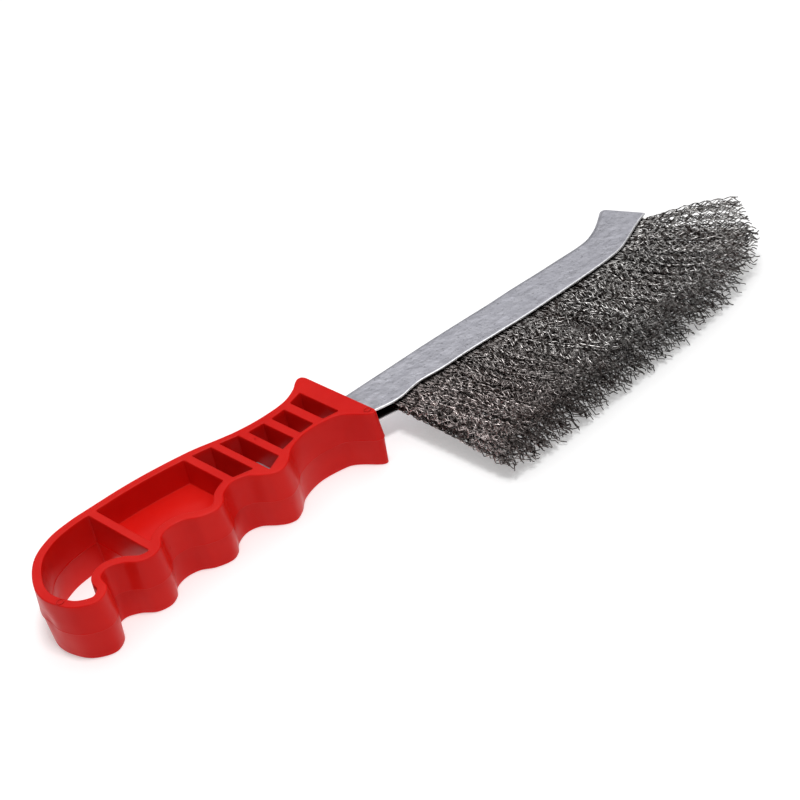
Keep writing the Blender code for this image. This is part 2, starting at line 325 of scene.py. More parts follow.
# %% One shader node at a time
def start_material(name, **constants):
    """A material with its Principled shader's own sockets set to the constants."""
    made = bpy.data.materials.new(name)
    made.use_nodes = True
    shader = made.node_tree.nodes["Principled BSDF"]
    for socket, value in constants.items():
        shader.inputs[socket.replace("_", " ")].default_value = value
    return made, shader


def node(finish, kind, settings=None, **inputs):
    """Adds a node, sets its properties, and sets or links its inputs by name."""
    made = finish.node_tree.nodes.new("ShaderNode" + kind)
    for key, value in (settings or {}).items():
        setattr(made, key, value)
    for socket, value in inputs.items():
        target = made.inputs[int(socket[1:])] if socket[1:].isdigit() else made.inputs[socket]
        if isinstance(value, bpy.types.NodeSocket):
            finish.node_tree.links.new(value, target)
        else:
            target.default_value = value
    return made


def pattern(finish, scale, detail=3.0, stretch=(1, 1, 1)):
    """Noise on Object coordinates: scale is in waves to the metre."""
    place = node(finish, "TexCoord").outputs["Object"]
    place = node(finish, "Mapping", Vector=place, Scale=stretch).outputs["Vector"]
    noise = node(finish, "TexNoise", Vector=place, Scale=scale, Detail=detail)
    return noise.outputs["Fac"]


def ramp(finish, value, low, high, start, end):
    """Maps a value's stretch from low to high on to the stretch from start to end."""
    made = node(finish, "MapRange", Value=value)
    for socket, number in zip(("From Min", "From Max", "To Min", "To Max"),
                              (low, high, start, end)):
        made.inputs[socket].default_value = number
    return made.outputs["Result"]


def blend_colours(finish, share, first, second):
    """A mix of two colours by a share from 0 to 1."""
    made = node(finish, "Mix", {"data_type": "RGBA"}, i0=share)
    for index, colour in ((6, first), (7, second)):
        if isinstance(colour, bpy.types.NodeSocket):
            finish.node_tree.links.new(colour, made.inputs[index])
        else:
            made.inputs[index].default_value = (*colour, 1)
    return made.outputs[2]


def bump(finish, height, distance, strength=1.0, normal=None):
    """A bump whose full height stands the distance in millimetres off the surface."""
    made = node(finish, "Bump", Height=height, Distance=distance * MM, Strength=strength)
    if normal is not None:
        finish.node_tree.links.new(normal, made.inputs["Normal"])
    return made.outputs["Normal"]


def connect(finish, shader, **sockets):
    """Links values to the shader's sockets by name."""
    for socket, value in sockets.items():
        finish.node_tree.links.new(value, shader.inputs[socket.replace("_", " ")])


# %% [markdown]
# ## Red plastic
#
# The handle is polypropylene. It has a satin gloss, a little waxy, and lets red light in by a
# few millimetres, which is why its edges glow. The wave of the cooling skin and the finest
# orange peel are bumps, and everything larger is in the mesh.


# %% The handle's finish
def red_plastic():
    """Satin red polypropylene with slight waves and faint scuffs."""
    finish, shader = start_material(
        "red_plastic", Metallic=0.0, IOR=1.49, Subsurface_Weight=0.35,
        Subsurface_Scale=0.0040, Subsurface_Radius=(1.0, 0.12, 0.06), Specular_IOR_Level=0.13,
    )
    cloud = ramp(finish, pattern(finish, 45, 4), 0.35, 0.65, 0, 1)
    colour = blend_colours(finish, cloud, (0.64, 0.006, 0.004), (0.70, 0.012, 0.008))
    scuffs = ramp(finish, pattern(finish, 420, 6, (1, 0.25, 1)), 0.5, 0.75, 0.30, 0.45)
    waves = bump(finish, pattern(finish, 130, 2), 0.05, 0.5)
    peel = bump(finish, pattern(finish, 1500, 3), 0.008, 0.5, waves)
    connect(finish, shader, Base_Color=colour, Roughness=scuffs, Normal=peel)
    return finish


# %% [markdown]
# ## The handle
#
# The handle is one moulding from a two-part mould. Its outside leans in from a parting line at
# half height, because it had to leave the mould, and its pockets narrow towards the same line.
# All edges are slightly rounded. So each wall is a profile, height against offset, carried round
# an outline. The flat rim between the outer wall and the pockets is filled last.

# %% Profiles of the walls
OUTER_EDGE = 0.40
TOE_ROUND = 0.12
POCKET_EDGE = 0.25
EDGE_STEPS = 5
LAND = 0.05
POCKET_RINGS = 6
DRAFT_RINGS = 7
SEAM_RINGS = 13
SEAM_WIDTH = 0.20
SEAM_REACH = 3
SEAM_BELL = 0.6 * SEAM_WIDTH
SEAM_HEIGHT = 0.14
MISMATCH = 0.18


def quarter(radius):
    """Offsets and drops of a quarter circle from a flat rim down to an upright wall."""
    turn = np.linspace(0, TURN / 4, EDGE_STEPS)
    return radius * (np.sin(turn) - 1), radius * (1 - np.cos(turn))


def wall_profile(draft, radius, mismatch=0.0):
    """Offsets and heights of a wall through the whole handle, from its top rim to its bottom.

    The wall is a quarter circle at each rim, and between them it leans out to the parting
    line, where a fine ridge stands proud by a bell curve. Below the line the whole wall is set
    back by the mismatch of the mould's halves.
    """
    edge_offset, edge_drop = quarter(radius)
    seam_top = MID_HEIGHT + (SEAM_REACH + 1) * SEAM_WIDTH
    upper = np.linspace(HANDLE_HEIGHT - radius, seam_top, DRAFT_RINGS)[1:]
    close = MID_HEIGHT + np.linspace(SEAM_REACH, -SEAM_REACH, SEAM_RINGS) * SEAM_WIDTH
    heights = np.concatenate([upper, close, HANDLE_HEIGHT - upper[::-1]])
    lean = draft * (1 - np.abs(heights - MID_HEIGHT) / (MID_HEIGHT - radius))
    ridge = SEAM_HEIGHT * np.exp(-(((heights - MID_HEIGHT) / SEAM_BELL) ** 2))
    offsets = np.concatenate([edge_offset, lean + ridge, edge_offset[::-1]])
    levels = np.concatenate([HANDLE_HEIGHT - edge_drop, heights, edge_drop[::-1]])
    offsets -= mismatch * smooth_step((MID_HEIGHT - levels) / SEAM_WIDTH + 0.5)
    return with_lands(offsets, levels)


def pocket_profile(floor):
    """Offsets and heights of the webbed pocket's wall, from the rim to the web's floor."""
    edge_offset, edge_drop = quarter(POCKET_EDGE)
    levels = np.linspace(HANDLE_HEIGHT - POCKET_EDGE, floor + TOE_ROUND, POCKET_RINGS)[1:-1]
    lean = INSIDE_DRAFT * (HANDLE_HEIGHT - levels) / (HANDLE_HEIGHT - floor)
    toe_drop, toe_offset = quarter(TOE_ROUND)
    offsets = np.concatenate([edge_offset, lean, INSIDE_DRAFT + toe_offset])
    levels = np.concatenate([HANDLE_HEIGHT - edge_drop, levels, floor - toe_drop])
    return with_lands(offsets, levels, 1)


def with_lands(offsets, levels, last=-1):
    """The profile with a narrow level strip at both ends, which keeps the flats' shading flat."""
    offsets = np.concatenate([[offsets[0] - LAND], offsets, [offsets[-1] + last * LAND]])
    return offsets, np.concatenate([levels[:1], levels, levels[-1:]])


def wall(outline, offsets, levels, side=1):
    """A grid of rings: the outline moved by each offset, at each level."""
    flat = outline[None] + side * offsets[:, None, None] * normals_of(outline)[None]
    tall = np.broadcast_to(levels[:, None, None], (*flat.shape[:2], 1))
    return np.concatenate([flat, tall], 2)


# %% Outlines of the pockets
LARGE_CORNER = 0.8
SMALL_CORNER = 0.6
inside_wall = offset(rim, -WALL)


def large_pocket(ends):
    """The outline of a large pocket's mouth: the inside of the wall between two ribs."""
    return rounded(clipped(clipped(inside_wall, ends[0], 1), ends[1], -1), LARGE_CORNER)


def small_pocket(numbers):
    """The outline of a four-cornered pocket's mouth."""
    near, far, near_finger, far_finger, near_spine, far_spine = numbers
    corners = [(near, near_finger), (far, far_finger), (far, far_spine), (near, near_spine)]
    return rounded(np.array(corners), SMALL_CORNER)


# %% [markdown]
# ## What the mould leaves behind
#
# Moulded parts carry marks: a shallow sink in the thick butt, the rings of ejector pins on the
# rim, and nibs where a gate or a vent was cut. They are small, but they are real shape.

# %% Marks
SINK_PLACE, SINK_LEVEL = (0.8, 2.0), 11.0
SINK_REACH, SINK_DEPTH = 3.6, 1.2
PIN_RINGS = [(2.1, -4.7, 1.1), (113.2, -17.6, 1.0)]
RING_THICKNESS = 0.22
RING_ARC = (0.4, 0.92 * TURN)
RING_SUNK = 0.02
BEAD_TURN = np.linspace(0.15, TURN / 2 - 0.15, 9)
NIBS = [(39.7, -7.2, 14.0, 0.35), (84.6, 3.0, 19.9, 0.30), (78.6, -16.5, 7.0, 0.25)]


def sunk(grid):
    """The outer wall with a sink: a bell curve in the plan distance and in the height."""
    far = ((grid[..., :2] - SINK_PLACE) ** 2).sum(2) + (grid[..., 2] - SINK_LEVEL) ** 2
    push = SINK_DEPTH * np.exp(-far / SINK_REACH**2)
    flat = grid[..., :2] - push[..., None] * normals_of(rim)[None]
    return np.concatenate([flat, grid[..., 2:]], 2)


def pin_rings():
    """Thin raised arcs on the rim, each most of a circle."""
    turn = np.linspace(*RING_ARC, 30)
    circle = np.stack([np.cos(turn), np.sin(turn), 0 * turn], 1)
    level = HANDLE_HEIGHT - RING_SUNK
    return np.array([(x, y, level) + radius * circle for x, y, radius in PIN_RINGS])


def nib_paths():
    """Short upright paths, which the radius turns into beads: a cosine of half a turn."""
    climb = np.cos(BEAD_TURN)
    return np.array([[(x, y, z + size * c) for c in climb] for x, y, z, size in NIBS])


# %% Join walls and flats into one closed skin
def fill_flats(skin, height_of_rim):
    """Fills the flat ring-shaped faces between the open edges that lie at one height."""
    edges = [edge for edge in skin.edges
             if edge.is_boundary and abs(edge.verts[0].co.z - height_of_rim * MM) < 1e-6]
    bmesh.ops.triangle_fill(skin, use_beauty=True, use_dissolve=False, edges=edges)


def handle_mesh():
    """The handle as one closed skin: outer wall, through pockets, webbed pocket and rims."""
    grids = [sunk(wall(rim, *wall_profile(OUTSIDE_DRAFT, OUTER_EDGE, MISMATCH)))]
    mouths = [large_pocket(HANGING_HOLE)] + [small_pocket(p) for p in OPEN_POCKETS]
    grids += [wall(mouth, *wall_profile(INSIDE_DRAFT, POCKET_EDGE), -1) for mouth in mouths]
    floor = MID_HEIGHT + WEB_THICKNESS / 2
    upper = wall(large_pocket(WEBBED_POCKET), *pocket_profile(floor), -1)
    grids += [upper, upper[::-1] * (1, 1, -1) + (0, 0, HANDLE_HEIGHT)]
    faces, start = [], 0
    for grid in grids:
        faces.append(grid_faces(*grid.shape[:2], start=start))
        start += grid.shape[0] * grid.shape[1]
    mesh = mesh_of("handle", np.concatenate([grid.reshape(-1, 3) for grid in grids]), faces)
    skin = bmesh.new()
    skin.from_mesh(mesh)
    for height in (HANDLE_HEIGHT, 0, floor, HANDLE_HEIGHT - floor):
        fill_flats(skin, height)
    bead = np.sin(BEAD_TURN)
    marks = [tubes(pin_rings(), RING_THICKNESS, 8)]
    marks += [tubes(path[None], size * bead, 10) for path, (*_, size) in zip(nib_paths(), NIBS)]
    for points, groups in marks:
        skin.from_mesh(mesh_of("mark", points, groups))
    bmesh.ops.recalc_face_normals(skin, faces=skin.faces)
    open_edges = sum(edge.is_boundary for edge in skin.edges)
    skin.to_mesh(mesh)
    skin.free()
    print("handle:", len(mesh.polygons), "faces,", open_edges, "open edges")
    return mesh


add_piece("moulded_handle", handle_mesh(), red_plastic(), "red_plastic", "handle")

# %% [markdown]
# ## Galvanised steel
#
# The channel is folded from a strip of hot-dipped sheet. Zinc is a soft, bluish, dull metal: it
# spreads highlights wide, and the press leaves it with fine scratches along the strip, grey
# blotches and dark specks. The cut edges at the lip are painted near white: bare steel, with a
# painted highlight along them. The inside of the fold is painted near black as painted shade.


# %% The channel's finish
def galvanised_steel():
    """Dull bluish zinc: blotches, scratches, dark specks, lips of bare steel with a painted
    highlight, and painted shade inside.
    """
    finish, shader = start_material("galvanised_steel", Metallic=1.0)
    blotches = ramp(finish, pattern(finish, 260, 6), 0.35, 0.65, 0, 1)
    colour = blend_colours(finish, blotches, (0.50, 0.50, 0.55), (0.61, 0.61, 0.665))
    specks = ramp(finish, pattern(finish, 1100, 2), 0.62, 0.72, 0, 0.6)
    colour = blend_colours(finish, specks, colour, (0.22, 0.22, 0.24))
    # The lips are painted near white: bare cut steel with a painted highlight along them.
    bare_edge_and_highlight = node(finish, "Attribute", {"attribute_name": "bare_edge_and_highlight"}).outputs["Fac"]
    colour = blend_colours(finish, bare_edge_and_highlight, colour, (0.93, 0.93, 0.95))
    # The inside of the fold is painted near black: painted shade.
    inside = node(finish, "Attribute", {"attribute_name": "inside"}).outputs["Fac"]
    colour = blend_colours(finish, inside, colour, (0.035, 0.033, 0.033))
    streaks = pattern(finish, 700, 5, (0.06, 1, 1))
    rough = ramp(finish, streaks, 0.3, 0.7, 0.44, 0.60)
    dents = bump(finish, pattern(finish, 500, 6), 0.22, 1.0)
    scratches = bump(finish, streaks, 0.010, 0.5, dents)
    connect(finish, shader, Base_Color=colour, Roughness=rough, Normal=scratches)
    return finish


# %% [markdown]
# ## The channel
#
# A strip brush holds its wires in a channel: a strip of sheet folded double, pressed shut on the
# wires, and here also run into the handle as a tang. A section, once round the sheet's outside
# and back round its inside, is carried from the end of the tang to the tip. The spine and the
# lip each have their own curve, so the section stretches between them. Hand bending leaves the
# spine a little wavy and the cheeks a little dented, so small smooth bumps move the surface.

# %% The section of the folded sheet
FOLD_STEPS = 14
OUTER_STEPS = 30
INNER_STEPS = 3
CUT_STEPS = 2
LIP_ROUND = 0.2
TIP_CORNER = 0.9
BRIGHT_EDGE = (-0.45, 0.25)
channel_length = along(channel_rows[:, :2])


def fold_section(half, width):
    """Depth and height of points round the folded sheet, for arrays of half thickness and width.

    The outside is two straight cheeks joined by half a circle, the inside is the same drawn in
    by the sheet, and each cut lip is a flat with two small round edges.
    """
    turns = np.linspace(TURN / 4, 3 * TURN / 4, FOLD_STEPS)[None]

    def skin(radius, steps):
        cheek = np.linspace(1, 0, steps, endpoint=False)[None]
        run = half + (width - LIP_ROUND - half) * cheek
        upper = np.stack([run, radius + 0 * run], -1)
        bend = np.stack([half + radius * np.cos(turns), radius * np.sin(turns)], -1)
        return np.concatenate([upper, bend, upper[:, ::-1] * (1, -1)], 1)

    cut = np.concatenate([LIP_ROUND - half, SHEET - LIP_ROUND - half], 1)
    cut = np.stack([width + 0 * cut, cut], -1)
    inside = skin(half - SHEET, INNER_STEPS)[:, ::-1]
    outside = skin(half, OUTER_STEPS)
    return np.concatenate([outside, cut, inside, cut[:, ::-1] * (1, -1)], 1)


# %% Dents and marks of the press
PRESS_MARKS = [
    (121.5, 9.5, -0.4, 1.4), (127.5, 8.2, 0.5, 0.9), (129.3, 6.6, -0.4, 0.7),
    (131.4, 7.6, 0.4, 0.9), (133.8, 6.0, 0.6, 0.7), (137.6, 8.8, 0.5, 0.9),
    (139.2, 6.9, -0.3, 0.7), (141.6, 7.8, 0.5, 1.0), (143.8, 5.4, 0.6, 0.7),
    (146.4, 8.6, 0.5, 0.8), (152.0, 4.0, 0.3, 0.8), (161.0, 9.0, 0.4, 0.6),
    (173.0, 7.0, 0.2, 0.9), (188.0, 5.0, 0.9, 0.8), (209.0, 9.5, 0.3, 1.2),
    (228.0, 8.0, 0.6, 1.0),
]
MARK_WIDTH = 0.32
MARK_HEIGHT = 0.10
DENT_DEPTH = 0.035
DENTS_BEGIN = 6
DENTS_END = 3


def press_marks(x, depth):
    """Height of short slanting ridges on the cheeks: a bell curve across each, longer along it.

    Each mark is its place along the brush, its depth from the spine, its slant and its reach.
    """
    place = np.array(PRESS_MARKS)[:, :, None, None]
    dx, dy = x[None] - place[:, 0], depth[None] - place[:, 1]
    along_mark = dx * np.cos(place[:, 2]) + dy * np.sin(place[:, 2])
    across_mark = dy * np.cos(place[:, 2]) - dx * np.sin(place[:, 2])
    shape = np.exp(-((along_mark / place[:, 3]) ** 2) - (across_mark / MARK_WIDTH) ** 2)
    return MARK_HEIGHT * shape.sum(0)


def dents(x, depth):
    """How far the cheeks are pressed in: the product of two slow sine waves that cross."""
    wave = np.sin(x / 4.1 + depth / 2.3) * np.sin(x / 11.0 - depth / 3.1 + 0.8)
    return DENT_DEPTH * (1 + wave)


def channel_mesh():
    """The channel: its section carried along the spine and the lip, closed at both ends.

    Each ring of points holds the outside, a cut lip, the inside and the other cut lip. Two
    attributes tell the finish where the cut edges, bare steel with a painted highlight, and the
    painted shade of the inside are.
    """
    spine, lip = channel_rows[:, :2], channel_rows[:, 2:]
    narrows, narrowed = TANG_NARROWS
    pressed = eased(spine[:, 0], narrows, narrowed - narrows)
    half = (TANG_THICKNESS + (CHANNEL_THICKNESS - TANG_THICKNESS) * pressed)[:, None] / 2
    width = np.linalg.norm(lip - spine, axis=1)[:, None]
    across = (lip - spine) / width
    section = fold_section(half, width)
    depth, height = section[..., 0], section[..., 1]
    to_end = channel_length[-1] - channel_length[:, None]
    lost = np.clip(TIP_CORNER - to_end, 0, TIP_CORNER)
    corner = TIP_CORNER - np.sqrt(TIP_CORNER**2 - lost**2)
    depth = depth + corner * (1 - depth / width)
    x = spine[:, :1] + 0 * depth
    free = eased(spine[:, :1], HANDLE_FRONT, DENTS_BEGIN) * eased(to_end, 0, DENTS_END)
    sunk_by = dents(x, depth) * np.sin(np.clip(depth / width, 0, 1) * TURN / 2)
    outside = np.abs(height) > half - SHEET / 2
    height = height + np.sign(height) * free * outside * (press_marks(x, depth) - sunk_by)
    flat = spine[:, None] + across[:, None] * depth[..., None]
    points = np.concatenate([flat, MID_HEIGHT + height[..., None]], 2)
    rings, count = points.shape[:2]
    faces = [grid_faces(rings, count)]
    mesh = mesh_of("channel", points.reshape(-1, 3), faces)
    skin = bmesh.new()
    skin.from_mesh(mesh)
    skin.verts.ensure_lookup_table()
    skin.faces.new([skin.verts[i] for i in range(count)][::-1])
    skin.faces.new([skin.verts[i] for i in range((rings - 1) * count, rings * count)])
    bmesh.ops.recalc_face_normals(skin, faces=skin.faces)
    skin.to_mesh(mesh)
    skin.free()
    # A painted highlight along the lips, over the bare cut steel.
    edge = eased(depth - width, *BRIGHT_EDGE)
    # Painted shade on the inner skin of the fold.
    inside = np.zeros_like(depth)
    inside[:, 2 * OUTER_STEPS + FOLD_STEPS + CUT_STEPS:-CUT_STEPS] = 1
    for name, values in (("bare_edge_and_highlight", edge), ("inside", inside)):
        values = values.reshape(-1).astype(np.float32)
        mesh.attributes.new(name, "FLOAT", "POINT").data.foreach_set("value", values)
    return mesh


channel = add_piece("folded_channel", channel_mesh(), galvanised_steel(), "galvanised_steel",
                    "steel_channel")
channel.data.set_sharp_from_angle(angle=math.radians(50))
print("channel:", len(channel.data.polygons), "faces")

# %% [markdown]
# ## Where the wires stand
#
# Every wire is named by one number, its share of the way along the lip from the first wire to
# the last. The share gives the point of the spine, the point of the lip and the point of the
# tips' line that belong together. It is an array operation, so it places all wires at once.

# %% Rows of wire
wired = channel_rows[channel_rows[:, 2] >= FIRST_WIRE_X]
wired_share = along(wired[:, 2:]) / along(wired[:, 2:])[-1]
tip_curve = smooth_curve(TIP_LINE, 40)
tip_share = np.linspace(0, 1, len(tip_curve))


def wire_row(share):
    """Spine, lip and tip points for an array of shares."""
    edges = np.stack([np.interp(share, wired_share, wired[:, k]) for k in range(4)], -1)
    tips = np.stack([np.interp(share, tip_share, tip_curve[:, k]) for k in range(2)], -1)
    return edges[..., :2], edges[..., 2:], tips


def splay(share):
    """Half the thickness of the brush at its tips: compact at both ends, wide between."""
    opened = NEAR_SPLAY + (FULL_SPLAY - NEAR_SPLAY) * eased(share, *SPLAY_OPENS)
    return opened + (TIP_SPLAY - FULL_SPLAY) * eased(share, *SPLAY_CLOSES)


# %% [markdown]
# ## Core wire
#
# The wires are bent double over one straight wire at the bottom of the fold. It shows only at
# the ends of the channel, as drawn steel with faint brown staining.


# %% The core wire and its finish
CORE_STEPS = 120
CORE_SIDES = 16
CORE_LEAD = [(6.0, 0), (4.0, 0), (2.0, 0)]


def drawn_steel():
    """Bright drawn steel wire with faint brown staining."""
    finish, shader = start_material("drawn_steel", Metallic=1.0)
    stain = ramp(finish, pattern(finish, 300, 4), 0.4, 0.65, 0, 1)
    colour = blend_colours(finish, stain, (0.45, 0.45, 0.46), (0.33, 0.30, 0.28))
    rough = ramp(finish, pattern(finish, 900, 4), 0.3, 0.7, 0.25, 0.42)
    connect(finish, shader, Base_Color=colour, Roughness=rough)
    return finish


def core_path():
    """The middle of the fold, from a little before the first wires to the channel's end."""
    spine, lip, _ = wire_row(np.linspace(0, 1, CORE_STEPS))
    across = (lip - spine) / np.linalg.norm(lip - spine, axis=1)[:, None]
    flat = spine + across * CHANNEL_THICKNESS / 2
    flat = np.vstack([flat[:1] - np.array(CORE_LEAD), flat])
    return np.column_stack([flat, np.full(len(flat), MID_HEIGHT)])


core_mesh = mesh_of("core", *tubes(core_path()[None], CORE_RADIUS, CORE_SIDES))
add_piece("core_rod", core_mesh, drawn_steel(), "core_steel", "core_wire")

# %% [markdown]
# ## Bristle steel
#
# The wires are hard steel, a little rusty near the handle, with patches along the brush. Their
# brightness is painted light: wires at the outside of the brush carry painted highlights in
# short strokes, those inside are painted near black as painted shade, and the tips are painted
# lighter. Depth adds real shade too: wires deep in the brush see little light.


# %% The wires' finish
def bristle_steel():
    """Steel in painted shade inside the brush and painted highlights outside, with patches."""
    finish, shader = start_material("bristle_steel", Metallic=1.0)
    painted_light_and_wear = node(finish, "Attribute", {"attribute_name": "painted_light_and_wear"}).outputs["Fac"]
    # Painted highlights and shade along each wire, broken into short strokes by noise.
    highlight_strokes = ramp(finish, pattern(finish, 700, 2), 0.43, 0.52, 0.06, 1)
    bright = node(finish, "Math", {"operation": "MULTIPLY"}, i0=painted_light_and_wear, i1=highlight_strokes).outputs[0]
    # Near black is the painted shade of the inner wires, near white their painted highlight.
    colour = blend_colours(finish, bright, (0.028, 0.022, 0.020), (1.0, 0.98, 0.96))
    patches = ramp(finish, pattern(finish, 60, 3), 0.35, 0.65, 0, 0.2)
    colour = blend_colours(finish, patches, colour, (0.16, 0.10, 0.09))
    place = node(finish, "TexCoord").outputs["Object"]
    along_brush = node(finish, "SeparateXYZ", Vector=place).outputs["X"]
    rust = ramp(finish, along_brush, -0.005, 0.045, 0.45, 0)
    rust = node(finish, "Math", {"operation": "MULTIPLY"}, i0=rust, i1=bright).outputs[0]
    colour = blend_colours(finish, rust, colour, (0.55, 0.36, 0.34))
    rough = ramp(finish, bright, 0, 1, 0.50, 0.36)
    connect(finish, shader, Base_Color=colour, Roughness=rough)
    return finish


# %% [markdown]
# ## The wires
#
# Each hairpin of wire goes down between the cheeks, round the core wire and up again. Before it
# is bent, the wire is crimped by gear-like rollers, so that neighbours cannot nest and the brush
# stays springy. So a leg is a straight line from the lip to its place on the line of the tips,
# bowed a little, with a wave added across it. Every leg has its own wave plane, phase and
# length, drawn from one seeded source of chance.

# %% Sizes of the wire and its crimp, in millimetres and grams
WIRE_RADIUS = 0.185
WIRE_SIDES = 3
STEEL_DENSITY = 0.00785
HAIRPINS = 19
CRIMP_LENGTH = 4.2
CRIMP_HEIGHT = 0.80
STEPS_OUTSIDE = 66
STEPS_INSIDE = 5
LIP_ROOM = 1.1

# %% How much each leg may differ: shares of the brush or the leg, and bends in millimetres
TIP_STRAY = 0.014
STRAY_OPENS = (0, 0.06)
USUAL_LENGTH = 0.985
LENGTH_CHANCE = 0.035
SHORTEST, LONGEST, LONGER_AT_TIP = -0.09, 0.04, 0.035
LONGER_OVER = (0.85, 0.1)
LEVEL_CHANCE = 0.12
OUTERMOST = 0.98
FAN_POWER = 1.5
BEND_ONSET, CRIMP_ONSET, LIFT_ONSET = 9, 14, 6
FREE_FROM, FREE_TO = (0, 0.04), (1.06, 0.10)
PHASE_CHANCE = 3
WANDER, WANDER_WAVE, HELD_WANDER = 0.5, 6.5, 0.2
DROOP, DROOP_WAVE = 0.4, 5.5
END_BOW = 1.8
BOW_OVER = (0.93, 0.07)
PLANE_TWIST = 2.5
PITCH_CHANCE, PITCH_LIMIT = 0.12, 0.3
UNEVENNESS, UNEVEN_WAVE = 0.7, 9
FEWER_AT_TIP = 0.55
FEWER_OVER = (0.88, 0.12)
END_GAP = 0.002
OUTWARD_POWER = 0.9
BEND_ROOM = 0.25
BEND_STEPS = 5


def leg_paths(share, level):
    """Paths of wire legs from the core to the tips, for arrays of share and level (-1 to 1).

    Outside the lip a leg runs straight to its tip with v going from 0 to 1. Its height climbs
    as v to a power. A slow wander bends it off the line, and the last wires are bowed by half
    a sine. The crimp is a sine less a ninth of the sine of three times its angle, which makes
    the bends tighter, laid in a plane of its own that twists a little on the way.
    """
    wires = len(share)
    spine, lip, _ = wire_row(share)
    across = (lip - spine) / np.linalg.norm(lip - spine, axis=1)[:, None]
    start = spine + across * (CHANNEL_THICKNESS / 2)

    def chance(size):
        return size * random.standard_normal(wires)[:, None]

    stray = TIP_STRAY * eased(share, *STRAY_OPENS) * random.standard_normal(wires)
    _, _, tip = wire_row(np.clip(share + stray, 0, 1))
    longest = LONGEST + LONGER_AT_TIP * eased(share, *LONGER_OVER)[:, None]
    length = USUAL_LENGTH + np.clip(chance(LENGTH_CHANCE), SHORTEST, longest)
    outside = tip - lip
    reach = np.linalg.norm(outside, axis=1)[:, None] * length
    ahead = outside / np.linalg.norm(outside, axis=1)[:, None]

    v = np.linspace(0, 1, STEPS_OUTSIDE)[None]
    spread = np.clip(level[:, None] + chance(LEVEL_CHANCE), -OUTERMOST, OUTERMOST)
    fanned = v**FAN_POWER
    rise = LIP_ROOM * level[:, None] * (1 - fanned) + splay(share)[:, None] * spread * fanned
    settled = smooth_step(v * BEND_ONSET)
    free = eased(share, *FREE_FROM) * smooth_step((FREE_TO[0] - share) / FREE_TO[1])
    loose = HELD_WANDER + (1 - HELD_WANDER) * free[:, None]
    bow = END_BOW * eased(share, *BOW_OVER)[:, None] * np.sin(v * TURN / 2)
    slow = chance(WANDER) * np.sin(WANDER_WAVE * v + chance(PHASE_CHANCE))
    wander = bow + slow * settled * loose
    droop = chance(DROOP) * np.sin(DROOP_WAVE * v + chance(PHASE_CHANCE)) * settled * v
    plane = random.random(wires)[:, None] * TURN + chance(PLANE_TWIST) * v
    pitch = CRIMP_LENGTH * (1 + np.clip(chance(PITCH_CHANCE), -PITCH_LIMIT, PITCH_LIMIT))
    angle = TURN * (reach * v / pitch + random.random(wires)[:, None])
    angle = angle + chance(UNEVENNESS) * np.sin(UNEVEN_WAVE * v + chance(PHASE_CHANCE))
    wave = CRIMP_HEIGHT * (np.sin(angle) - np.sin(3 * angle) / 9)
    wave = wave * smooth_step(v * CRIMP_ONSET)
    side = np.stack([-ahead[:, 1], ahead[:, 0]], -1)
    aside = wander + wave * np.cos(plane)
    flat = lip[:, None] + ahead[:, None] * (reach * v)[..., None]
    flat = flat + side[:, None] * aside[..., None]
    lift = rise + droop + wave * np.sin(plane) * smooth_step(v * LIFT_ONSET)
    low, high = WIRE_RADIUS - MID_HEIGHT, HANDLE_HEIGHT - MID_HEIGHT - WIRE_RADIUS
    outer = np.concatenate([flat, MID_HEIGHT + np.clip(lift, low, high)[..., None]], 2)

    w = np.linspace(0, 1, STEPS_INSIDE, endpoint=False)[None, :, None]
    inner = start[:, None] * (1 - w) + lip[:, None] * w
    tall = (MID_HEIGHT + LIP_ROOM * level)[:, None, None] * np.ones_like(w)
    return np.concatenate([np.concatenate([inner, tall], 2), outer], 1)


# %% Painted light and shade by place in the brush, and how much darker the cut ends are
PAINTED_LIGHT_OVER = (0.3, 0.4)
PAINTED_TIP_LIGHT, PAINTED_TIP_LIGHT_OVER = 0.85, (0.3, 0.5)
END_DARKENING, END_DARKENING_OVER = 0.75, (0.9, 0.1)
LEAST_WORN = 0.3


def paint_light_and_wear(share, legs):
    """How brightly each leg is painted along its length, 1 at the outside of the brush.

    Half the brush's thickness climbs from the lip's room to the splay as the legs do. What
    counts is a point's distance from the middle against that: the outer wires get a painted
    highlight and those inside painted shade, times a chance for each wire. Towards the tips
    every wire is painted lighter, a painted light on the tips, and the cut ends are darker.
    """
    v = np.concatenate([np.zeros(STEPS_INSIDE), np.linspace(0, 1, STEPS_OUTSIDE)])
    fanned = v**FAN_POWER
    half = LIP_ROOM * (1 - fanned) + splay(share)[:, None] * fanned
    outward = np.abs(legs[..., 2] - MID_HEIGHT) / half
    # Painted highlight on the outer wires, painted shade inside, painted light on the tips.
    painted_light_and_wear = np.maximum(eased(outward, *PAINTED_LIGHT_OVER), PAINTED_TIP_LIGHT * eased(fanned, *PAINTED_TIP_LIGHT_OVER))
    painted_light_and_wear = painted_light_and_wear * (1 - END_DARKENING * eased(fanned, *END_DARKENING_OVER))
    return painted_light_and_wear * (LEAST_WORN + (1 - LEAST_WORN) * random.random(len(share))[:, None])


